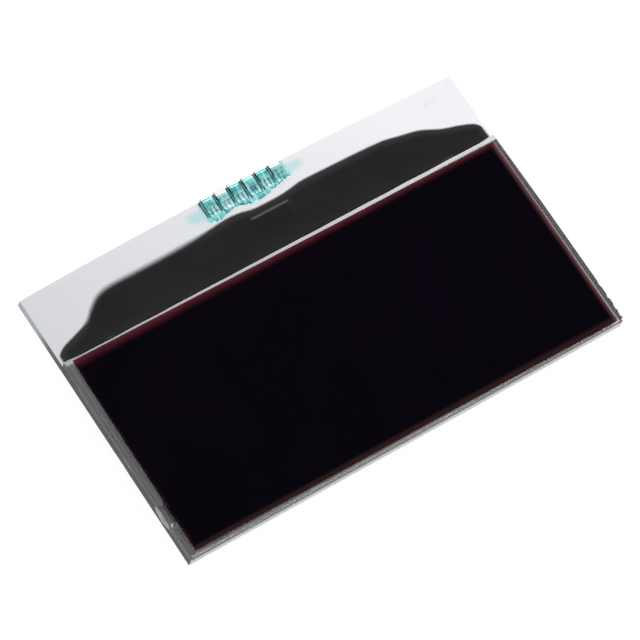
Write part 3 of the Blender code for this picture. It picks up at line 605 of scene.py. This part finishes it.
bond_adhesive, nodes, shader = new_material("bonding_adhesive")
place = object_place(nodes)
beads = add_node(nodes, "TexVoronoi", {"Vector": place, "Scale": 9000.0})
amber = add_ramp(nodes, beads.outputs["Distance"], (0.0, (0.50, 0.42, 0.22)), (1.0, (0.26, 0.21, 0.11)))
set_inputs(shader, {"Roughness": 0.45, "Base Color": amber.outputs["Color"]})
dress(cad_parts["chip_bond_film"], bond_adhesive)


# Black coating: a rubbery skin poured over the chip and its tracks. It climbs the front glass's end, swells over the
# chip, and runs out to a soft, wavy edge that is thin and brownish at the left.
chip_low, chip_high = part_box("driver_chip")
ledge_z = rear_high.z
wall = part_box("protective_coating")[0].y
COAT_SKIN = 0.00024
COAT_CLIMB = 0.00030
COAT_CLIMB_LENGTH = 0.0024
COAT_SWELL = 0.00027
COAT_LAP = 0.00017
LAP_SKIN = 0.000008
LAP_WAVER = 0.00004
COAT_CLEAR, WALL_CLEAR, LAP_CLEAR = 0.000021, 0.00002, 0.000003
COAT_INSET = 0.0002
COAT_WAVE = 0.00001
LEAST_SKIN = 0.000004
END_FADE = 0.0022
LIGHTER_BAND_DEPTH = 0.0014
# The ridge up the front glass's end: how far it stays upright, and how far it takes to fall.
RIDGE, RIDGE_FALL = 0.00006, 0.00012
# The feathered edge and the rounded rim inside it: their width, and how much wider they are in the thin stretch.
FEATHER, THIN_FEATHER = 0.00034, 0.00055
RIM, THIN_RIM = 0.00022, 0.0006
# That stretch's start and end along the coating, each with the length over which it comes or goes.
THIN_START, THIN_END = (0.0042, 0.0022), (0.020, 0.008)
# How far inside the chip's outline the swell over it begins to fall, and how long its flank is.
LEFT_FLANK, RIGHT_FLANK = (0.0002, 0.0004), (0.0004, 0.0012)
NEAR_FLANK, FAR_FLANK = (0.0, 0.0016), (0.00042, 0.00062)
COAT_COLUMNS, COAT_ROWS = 480, 64
# The rows that lie over the front glass's top edge, before the skin comes down on the ledge.
LAP_ROWS = 4
# Distance from the coating's left end, and how far it reaches out from the front glass there, in millimetres.
COAT_REACH = [
    (0.0, 0.95), (0.25, 1.35), (0.7, 1.78), (1.6, 2.24), (3.05, 2.70), (5.45, 3.63), (6.9, 4.87), (8.4, 5.89),
    (10.3, 6.34), (14.0, 6.38), (17.7, 6.40), (22.7, 6.54), (25.5, 6.73), (28.0, 6.93), (29.8, 6.83), (31.6, 6.46),
    (33.2, 6.40), (35.5, 6.41), (37.1, 6.57), (38.8, 6.81), (41.9, 6.80), (50.8, 6.50), (53.5, 6.00), (56.1, 5.42),
    (58.7, 4.24), (61.0, 3.53), (62.6, 2.88), (63.2, 2.38), (63.5, 1.72), (63.6, 1.1),
]


def smooth_through(knots, at):
    """Value at a place on a smooth curve through (place, value) knots."""
    number = 0
    while number < len(knots) - 2 and at > knots[number + 1][0]:
        number += 1
    (x0, y0), (x1, y1) = knots[number], knots[number + 1]
    before = knots[max(number - 1, 0)]
    after = knots[min(number + 2, len(knots) - 1)]
    slope0 = (y1 - before[1]) / max(x1 - before[0], 1e-9)
    slope1 = (after[1] - y0) / max(after[0] - x0, 1e-9)
    span = x1 - x0
    t = min(max((at - x0) / span, 0.0), 1.0)
    return (
        y0 * (1 + 2 * t) * (1 - t) ** 2 + slope0 * span * t * (1 - t) ** 2
        + y1 * t * t * (3 - 2 * t) + slope1 * span * t * t * (t - 1)
    )


def eased(value):
    value = min(max(value, 0.0), 1.0)
    return value * value * (3 - 2 * value)


def raised(shape, layer):
    """Grows a flat grid into a closed skin, whose top lies at each point's height in that layer."""
    grown = bmesh.ops.extrude_face_region(shape, geom=shape.faces[:])
    for item in grown["geom"]:
        if isinstance(item, bmesh.types.BMVert):
            item.co.z = item[layer]
    return shape


skin = bmesh.new()
bmesh.ops.create_grid(skin, x_segments=COAT_COLUMNS, y_segments=COAT_ROWS, size=1.0)
cover = skin.verts.layers.float.new("cover")
inland = skin.verts.layers.float.new("inland")
tall = skin.verts.layers.float.new("tall")
start = rear_low.x + COAT_INSET
end = rear_high.x - COAT_INSET
base = ledge_z + COAT_CLEAR
rim_top = front_high.z + LAP_CLEAR
for vert in skin.verts:
    x = (start + end) / 2 + (end - start) / 2 * math.sin(vert.co.x * math.pi / 2)
    along = x - start
    from_end = min(along, end - x)
    thin = eased((along - THIN_START[0]) / THIN_START[1]) * (1 - eased((along - THIN_END[0]) / THIN_END[1]))
    feather = FEATHER + THIN_FEATHER * thin
    knot = along / (end - start) * COAT_REACH[-1][0]
    reach = smooth_through(COAT_REACH, knot) * 0.001 + 0.5 * (feather - 0.0001)
    row = round((vert.co.y + 1) / 2 * COAT_ROWS)
    out = math.sin(max(row - LAP_ROWS, 0) / (COAT_ROWS - LAP_ROWS) * math.pi / 2)
    y = wall + WALL_CLEAR + reach * out
    rim = RIM + THIN_RIM * thin
    to_rim = min(reach * (1 - out) * 0.9, from_end)
    lip = math.sqrt(1 - (1 - min(to_rim / rim, 1.0)) ** 2)
    end_fade = eased(from_end / END_FADE)
    away = max(y - wall, 0.0)
    climb = COAT_CLIMB * max(0.0, 1 - away / COAT_CLIMB_LENGTH) ** 2 * (0.45 + 0.55 * end_fade)
    left_of = eased((chip_low.x + LEFT_FLANK[0] - x) / LEFT_FLANK[1])
    right_of = eased((x - chip_high.x + RIGHT_FLANK[0]) / RIGHT_FLANK[1])
    before = eased((chip_low.y + NEAR_FLANK[0] - y) / NEAR_FLANK[1])
    beyond = eased((y - chip_high.y + FAR_FLANK[0]) / FAR_FLANK[1])
    swell = COAT_SWELL * (1 - left_of - right_of) * (1 - before) * (1 - beyond)
    wave = COAT_WAVE * noise.noise(Vector((x, y, 0.3)) * 500) * min(to_rim / 0.001, 1.0)
    skin_top = base + LEAST_SKIN + (COAT_SKIN + wave + climb + swell) * lip
    lap = (COAT_LAP + LAP_WAVER * noise.noise(Vector((x * 300, 0.0, 4.0)))) * end_fade
    ridge = 1 - eased((away - RIDGE) / RIDGE_FALL)
    vert[tall] = max(skin_top, skin_top + (rim_top + LAP_SKIN - skin_top) * ridge * end_fade)
    vert[cover] = min(to_rim / feather, 1.0)
    vert[inland] = min(to_rim / LIGHTER_BAND_DEPTH, 1.0)
    vert.co = (x, y, base)
    if row < LAP_ROWS:
        vert.co = (x, front_high.y + LAP_SKIN - lap * (LAP_ROWS - row) / LAP_ROWS, rim_top)
        vert[tall] = rim_top + LAP_SKIN * math.sqrt(row / LAP_ROWS) * end_fade
        vert[cover] = end_fade * (0.5 if row == 0 else 1.0)
        vert[inland] = 1.0
coating = finished(raised(skin, tall), "coating_skin", 40)

coating_black, nodes, shader = new_material("coating_black")
place = object_place(nodes)
flow = add_node(nodes, "TexNoise", {"Vector": place, "Scale": 150.0, "Detail": 4.0})
pore = add_node(nodes, "TexNoise", {"Vector": place, "Scale": 2400.0, "Detail": 2.0})
soot = add_ramp(nodes, flow.outputs["Fac"], (0.3, (0.0065, 0.0065, 0.0075)), (0.7, (0.0095, 0.0095, 0.0108)))
# The feathered edge is brownish and lets the ledge through, and the colour lightens over a wider band inside it.
edge = add_node(nodes, "Attribute", attribute_name="cover")
bare = add_node(nodes, "Math", {0: 1.0, 1: edge.outputs["Fac"]}, operation="SUBTRACT")
squeeze = add_node(nodes, "Math", {0: bare.outputs[0], 1: 3.0}, operation="POWER")
opaque = add_node(nodes, "Math", {0: edge.outputs["Fac"], 1: 1.4}, operation="POWER")
shore = add_node(nodes, "Attribute", attribute_name="inland")
lighter = add_node(nodes, "MapRange", {
    "Value": shore.outputs["Fac"], "To Min": 0.75, "To Max": 0.0,
}, interpolation_type="SMOOTHSTEP")
lightened = mixed(nodes, lighter.outputs["Result"], soot.outputs["Color"], (0.040, 0.039, 0.040, 1.0))
brown = mixed(nodes, squeeze.outputs[0], lightened, (0.10, 0.085, 0.078, 1.0))
sheen = add_node(nodes, "MapRange", {"Value": flow.outputs["Fac"], "To Min": 0.30, "To Max": 0.42})
dimple = add_node(nodes, "Bump", {"Strength": 0.25, "Distance": 0.00002, "Height": pore.outputs["Fac"]})
set_inputs(shader, {
    "Specular IOR Level": 0.14, "Alpha": opaque.outputs[0], "Base Color": brown,
    "Roughness": sheen.outputs["Result"], "Normal": dimple.outputs["Normal"],
})
link_in(coating, coating_black)
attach(coating, "root")
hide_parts("protective_coating")


# Contact clips: six stamped and folded strips of tinned spring bronze that grip the ledge. Above it each has a raised
# shoulder and three sprung fingers, and below it one broad tongue.
CLIP_METAL = 0.00018
CLIP_LIFT = 0.00002
FINGER_SLOT = 0.00018
SLOT_FROM = 0.0013
TONGUE_LENGTH = 0.0020
GLASS_THICK = 0.0011
SHOULDER_TOP = 0.00030
CLIP_NUMBERS = range(1, 7)
FOLD_RADIUS = 0.00016
FOLD_STEPS = 8
EDGE_ROUND = 0.00002
tinned, nodes, shader = new_material("tinned_bronze")
place = object_place(nodes)
brushed = add_node(nodes, "Mapping", {"Vector": place, "Scale": (9000.0, 900.0, 900.0)})
grain = add_node(nodes, "TexNoise", {"Vector": brushed.outputs["Vector"], "Scale": 1.0, "Detail": 3.0})
tin = add_ramp(nodes, grain.outputs["Fac"], (0.3, (0.86, 0.88, 0.87)), (0.7, (0.97, 0.98, 0.97)))
polish = add_node(nodes, "MapRange", {"Value": grain.outputs["Fac"], "To Min": 0.12, "To Max": 0.3})
split = add_node(nodes, "SeparateXYZ", {0: place})
# Painted shade: the steep outer fold above the glass is painted dark.
outer_fold = add_node(nodes, "MapRange", {"Value": split.outputs["Y"], "From Min": 0.01970, "From Max": 0.01977})
above = add_node(nodes, "MapRange", {"Value": split.outputs["Z"], "From Min": 0.00118, "From Max": 0.00130})
both = add_node(nodes, "Math", {0: outer_fold.outputs["Result"], 1: above.outputs["Result"]}, operation="MULTIPLY")
fold_painted_shade = mixed(nodes, both.outputs[0], tin.outputs["Color"], (0.12, 0.105, 0.10, 1.0))
set_inputs(shader, {"Metallic": 0.8, "Base Color": fold_painted_shade, "Roughness": polish.outputs["Result"]})


def rounded_path(corners):
    """Points along an open path whose inner corners are folded into arcs."""
    points = [Vector(corners[0])]
    for before, corner, after in zip(corners, corners[1:], corners[2:]):
        corner = Vector(corner)
        back = (Vector(before) - corner).normalized()
        on = (Vector(after) - corner).normalized()
        half = back.angle(on) / 2
        centre = corner + (back + on).normalized() * FOLD_RADIUS / math.sin(half)
        first = corner + back * FOLD_RADIUS / math.tan(half) - centre
        last = corner + on * FOLD_RADIUS / math.tan(half) - centre
        turn = first.angle_signed(last)
        for step in range(FOLD_STEPS + 1):
            points.append(centre + Matrix.Rotation(-turn * step / FOLD_STEPS, 2) @ first)
    return points + [Vector(corners[-1])]


# The strip's inner face seen from its end, from the tongue's tip round the ledge's edge to the fingers' tips.
clip_path = rounded_path([
    (-TONGUE_LENGTH, -GLASS_THICK - CLIP_LIFT), (CLIP_LIFT, -GLASS_THICK - CLIP_LIFT), (CLIP_LIFT, 0.00014),
    (-0.00050, SHOULDER_TOP), (-0.0010, SHOULDER_TOP), (-0.00155, CLIP_LIFT), (-0.0023, CLIP_LIFT),
    (-0.0027, CLIP_LIFT + 0.0001),
])
for number in CLIP_NUMBERS:
    node = f"contact_clip_{number}"
    low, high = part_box(node)
    root_y = high.y - CLIP_LIFT - CLIP_METAL
    finger = (high.x - low.x - 2 * FINGER_SLOT) / 3
    strip = bmesh.new()
    row = [strip.verts.new((low.x, root_y + y, ledge_z + z)) for y, z in clip_path]
    edges = [strip.edges.new(pair) for pair in zip(row, row[1:])]
    for width in (finger, FINGER_SLOT, finger, FINGER_SLOT, finger):
        grown = bmesh.ops.extrude_edge_only(strip, edges=edges)
        verts = [item for item in grown["geom"] if isinstance(item, bmesh.types.BMVert)]
        bmesh.ops.translate(strip, verts=verts, vec=(width, 0.0, 0.0))
        edges = [
            item for item in grown["geom"]
            if isinstance(item, bmesh.types.BMEdge) and abs(item.verts[0].co.x - item.verts[1].co.x) < 1e-7
        ]
    slots = []
    for face in strip.faces:
        middle = face.calc_center_median()
        in_slot = min(abs(middle.x - low.x - finger * (1 + k) - FINGER_SLOT * (0.5 + k)) for k in (0, 1)) < 1e-5
        if in_slot and middle.z > ledge_z and middle.y < root_y - SLOT_FROM:
            slots.append(face)
    bmesh.ops.delete(strip, geom=slots, context="FACES")
    bmesh.ops.recalc_face_normals(strip, faces=strip.faces)
    if max(strip.faces, key=lambda face: face.calc_center_median().z).normal.z < 0:
        bmesh.ops.reverse_faces(strip, faces=strip.faces)
    bmesh.ops.solidify(strip, geom=strip.faces[:], thickness=-CLIP_METAL)
    sharp = [edge for edge in strip.edges if len(edge.link_faces) == 2 and edge.calc_face_angle() > 1.2]
    bmesh.ops.bevel(
        strip, geom=sharp, offset=EDGE_ROUND, segments=2, affect="EDGES", profile=0.5, material=-1, clamp_overlap=True
    )
    clip = link_in(finished(strip, f"clip_{number}", 35), tinned)
    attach(clip, "root")
    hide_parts(node)


# Teal resin: a glassy light-cured dab that was run along the clips and drew itself up over each shoulder and finger.
# Between the clips it sinks to the glass with steep sides, its inner rim is lumpy, and both ends thin to a smear.
resin_low, resin_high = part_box("contact_resin")
clip_boxes = [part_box(f"contact_clip_{number}") for number in CLIP_NUMBERS]
TAIL = 0.0026
pad_left = resin_low.x + TAIL
pad_right = resin_high.x - TAIL
# Place along the row, and where the resin's inner rim lies there, in millimetres.
RESIN_RIM = [
    (-8.4, 17.3), (-7.4, 17.0), (-6.6, 16.9), (-5.9, 16.75), (-5.1, 16.42), (-4.2, 16.40), (-3.2, 16.68),
    (-2.5, 16.82), (-1.8, 16.96), (-1.2, 16.88), (-0.8, 16.72), (0.0, 16.45), (1.0, 16.32), (2.1, 16.42),
    (3.0, 16.50), (3.6, 16.84), (3.9, 16.74), (4.5, 16.92), (5.3, 17.10), (6.2, 17.25), (7.2, 17.3), (9.4, 17.6),
]
# How far in from its outer edge the dye on each shoulder stays pale, in millimetres: the resin is thin there, and the
# pale dye is partly a painted highlight.
PALE_TOP = [0.12, 1.15, 0.26, 0.24, 0.28, 1.25]
# How deep the dye lies, from a smear to the deepest lump, and its colour there.
DYE_COLOURS = (
    (0.0, (0.96, 0.99, 0.99)), (0.10, (0.66, 0.93, 0.94)), (0.5, (0.28, 0.82, 0.79)), (1.0, (0.01, 0.30, 0.31))
)
DEEPEST = 1.6
# The dab's height in its tails, and what it gains between the clips, over each shoulder and over the fingers.
TAIL_HEIGHT, BETWEEN_RISE, SHOULDER_RISE, FINGER_RISE = 0.00006, 0.00005, 0.00046, 0.00014
SHOULDER_LENGTH = 0.00130
OUTER_FOLD = 0.0002
FINGER_MIDDLE, FINGER_PITCH = 0.00019, 0.00056
# How far the dab bulges out past its box, and how much of that edge draws back in its tails.
OUT, TAIL_BACK = 0.00014, 0.00053
# The rounded lip round the dab's rim: its width in the tails, and how much narrower it is along the clips.
LIP, NARROWER = 0.0009, 0.0007
# The stretch beside each clip's left edge, and the dark lines painted in it as shade along the clip's side and the
# groove beside it: their depth, place and half width.
PAINTED_SHADE_GAP = 0.00044
PAINTED_SHADE_LINES = ((1.9, 0.00007, 0.00009), (1.7, 0.00037, 0.00008))
# The ridge between those dark lines: its height, place and half width.
RIDGE_RISE, RIDGE_AT, RIDGE_HALF = 0.00014, 0.00025, 0.00011
# How much higher the resin stands over a shoulder's middle, over each finger's middle and in lumps over the fingers,
# and how much it drops towards the outer fold.
CROWN, SPRUNG, LUMP, OUTER_DROP = 0.00004, 0.00007, 0.00018, 0.00015
RIM_WAVER, SWAY, TOP_WAVER = 0.00008, 0.00005, 0.00025
ROW_FADE, END_ROUND, INNER_BAND = 0.0007, 0.0010, 0.00055
DAB_CLEAR, SMEAR_CLEAR = 0.00001, 0.000014
# The least depth of colour over a clip, its depth in the tails, and what it gains between the clips.
PALEST, TAIL_DYE, BETWEEN_DYE = 0.12, 0.17, 0.30


def pulse(value, low, high, soft):
    """One between low and high, nought outside, with soft flanks."""
    return eased((value - low) / soft + 0.5) * eased((high - value) / soft + 0.5)


def line(value, at, half_width):
    """A rounded ridge, one high in its middle."""
    return max(0.0, 1 - ((value - at) / half_width) ** 2)


dab = bmesh.new()
bmesh.ops.create_grid(dab, x_segments=560, y_segments=80, size=1.0)
dye_light_layer = dab.verts.layers.float.new("depth")
tall = dab.verts.layers.float.new("tall")
for vert in dab.verts:
    x = (resin_low.x + resin_high.x) / 2 + (resin_high.x - resin_low.x) / 2 * vert.co.x
    from_end = min(x - resin_low.x, resin_high.x - x)
    row = pulse(x, pad_left, pad_right, ROW_FADE)
    near = smooth_through(RESIN_RIM, x * 1000) * 0.001
    near += RIM_WAVER * noise.noise(Vector((x * 1300, 0.0, 2.0))) * row
    far = resin_high.y + OUT - TAIL_BACK * (1 - row)
    closing = math.sqrt(max(0.0, 1 - (1 - min(from_end / END_ROUND, 1.0)) ** 2))
    middle = (near + far) / 2
    half = (far - near) / 2 * max(closing, 0.03)
    y = middle + half * math.sin(vert.co.y * math.pi / 2)
    to_rim = min(y - (middle - half), (middle + half) - y, from_end)
    height = TAIL_HEIGHT + BETWEEN_RISE * row
    dye_and_painted_light = TAIL_DYE + BETWEEN_DYE * row
    for number, (low, high) in enumerate(clip_boxes):
        edge_y = high.y - OUTER_FOLD
        over = pulse(x, low.x - 0.00003, high.x + 0.00003, 0.00014)
        shoulder = pulse(y, edge_y - SHOULDER_LENGTH, edge_y + 0.001, 0.0003)
        middle_x = (low.x + high.x) / 2 + 0.0002 * noise.noise(Vector((number * 3.1, 0.0, 0.0)))
        crown = 1 - ((x - middle_x) / 0.00095) ** 2
        sprung = 0.5 + 0.5 * math.cos((x - low.x - FINGER_MIDDLE) / FINGER_PITCH * 2 * math.pi)
        lump = 0.5 + 0.5 * noise.noise(Vector((x * 1500, y * 500, number)))
        height += over * (
            shoulder * (SHOULDER_RISE + CROWN * crown - OUTER_DROP * eased((y - edge_y + 0.00035) / 0.0005))
            + (1 - shoulder) * (FINGER_RISE + SPRUNG * sprung + LUMP * lump)
        )
        sway = SWAY * noise.noise(Vector((number * 5.3, y * 700, 1.0)))
        gap = low.x - x + sway
        reach_in = eased((y - near - 0.0003) / 0.0005)
        height += RIDGE_RISE * line(gap, RIDGE_AT, RIDGE_HALF) * reach_in
        # Painted highlights and shade: stripes of paler and deeper dye over the shoulders and fingers.
        stripe = noise.noise(Vector((x * 2700, y * 380, number * 2.7)))
        bar = noise.noise(Vector((x * 900, y * 2600, number * 1.9)))
        top_end = PALE_TOP[number] * 0.001 + TOP_WAVER * stripe
        bright = eased((far - y) / max(top_end, 0.00006))
        on_top = shoulder * (0.02 + max(PALEST, 1.12 + 0.85 * stripe + 0.55 * bar) * bright**2)
        # Painted shade: a deeper teal line where the shoulder steps down to the fingers.
        step_shade = 0.3 * line(y, edge_y - 0.00132, 0.00013)
        on_fingers = (1 - shoulder) * max(PALEST, 0.68 + 1.3 * stripe + 0.9 * bar)
        dye_and_painted_light += over * (on_top + step_shade + on_fingers - dye_and_painted_light)
        # Painted shade: dark lines along each clip's left side and the groove beside it.
        dark_lines = sum(deep * line(gap, at, wide) for deep, at, wide in PAINTED_SHADE_LINES)
        between = pulse(gap, 0.0, PAINTED_SHADE_GAP, 0.00003)
        if 0 <= gap <= PAINTED_SHADE_GAP:
            dye_and_painted_light = dye_and_painted_light * (1 - between) + between * (BETWEEN_DYE + dark_lines * reach_in)
    lip_width = LIP - NARROWER * row
    lip = math.sqrt(1 - (1 - min(to_rim / lip_width, 1.0)) ** 2)
    soft = eased(to_rim / lip_width)
    lip = lip * row + (1 - row) * soft
    clump = noise.noise(Vector((x * 1100, y * 300, 8.0)))
    dye_and_painted_light += row * max(0.0, 0.55 + 0.9 * clump) * (1 - eased((y - middle + half) / INNER_BAND))
    vert.co = (x, y, ledge_z + DAB_CLEAR)
    vert[dye_light_layer] = max(0.0, dye_and_painted_light) / DEEPEST * (row + (1 - row) * soft)
    vert[tall] = ledge_z + SMEAR_CLEAR + height * lip
resin = finished(raised(dab, tall), "teal_resin_dab", 60)

teal, nodes, shader = new_material("teal_resin")
# The depth attribute holds the dye with painted shade and highlights in it.
depth = add_node(nodes, "Attribute", attribute_name="depth")
dye = add_ramp(nodes, depth.outputs["Fac"], *DYE_COLOURS)
set_inputs(shader, {"Transmission Weight": 1.0, "IOR": 1.5, "Roughness": 0.02, "Base Color": dye.outputs["Color"]})
link_in(resin, teal)
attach(resin, "root")
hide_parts("contact_resin")


# Fill port plug: a lens-shaped dab of clear resin, clouded by its cure, over the port on the left end of both sheets.
# A tongue of it was drawn into the port while it was wet.
PLUG_BULGE = 0.00036
PLUG_SPREAD = 1.16
PLUG_CLEAR = 0.00001
PLUG_WAVER = 0.00003
plug_low, plug_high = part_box("fill_port_plug")
plug_centre = (plug_low + plug_high) / 2
plug_face = rear_low.x
cap = bmesh.new()
half_length = (plug_high.y - plug_low.y) / 2
half_height = (plug_high.z - plug_low.z) / 2
bmesh.ops.create_uvsphere(
    cap,
    u_segments=48,
    v_segments=32,
    radius=1.0,
    matrix=Matrix.Translation((plug_face + PLUG_BULGE / 2, plug_centre.y, plug_centre.z))
    @ Matrix.Diagonal((PLUG_BULGE, half_length * PLUG_SPREAD, half_height * PLUG_SPREAD, 1.0)),
)
everything = cap.verts[:] + cap.edges[:] + cap.faces[:]
cut = bmesh.ops.bisect_plane(
    cap, geom=everything, plane_co=(plug_face - PLUG_CLEAR, 0.0, 0.0), plane_no=(1.0, 0.0, 0.0), clear_outer=True
)
rim = [item for item in cut["geom_cut"] if isinstance(item, bmesh.types.BMEdge)]
bmesh.ops.contextual_create(cap, geom=rim)
for vert in cap.verts:
    if vert.co.x < plug_face - 0.00002:
        vert.co.x += PLUG_WAVER * noise.noise(vert.co * 1500)
tongue_low = Vector((plug_face + PLUG_CLEAR, port_middle - PORT_HALF, seal_low.z))
tongue_high = Vector((seal_low.x + END_WIDTH, port_middle + PORT_HALF, seal_high.z))
bmesh.ops.create_cube(
    cap,
    size=1.0,
    matrix=Matrix.Translation((tongue_low + tongue_high) / 2) @ Matrix.Diagonal((*(tongue_high - tongue_low), 1.0)),
)
plug = finished(cap, "port_plug_cap", 40)
plug_resin, nodes, shader = new_material("plug_resin")
place = object_place(nodes)
cloud = add_node(nodes, "TexNoise", {"Vector": place, "Scale": 900.0, "Detail": 4.0})
cure = add_ramp(nodes, cloud.outputs["Fac"], (0.35, (0.20, 0.22, 0.19)), (0.7, (0.50, 0.53, 0.49)))
gloss = add_node(nodes, "MapRange", {"Value": cloud.outputs["Fac"], "To Min": 0.1, "To Max": 0.3})
set_inputs(shader, {
    "Transmission Weight": 0.35, "IOR": 1.5, "Base Color": cure.outputs["Color"],
    "Roughness": gloss.outputs["Result"],
})
link_in(plug, plug_resin)
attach(plug, "root")
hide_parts("fill_port_plug")
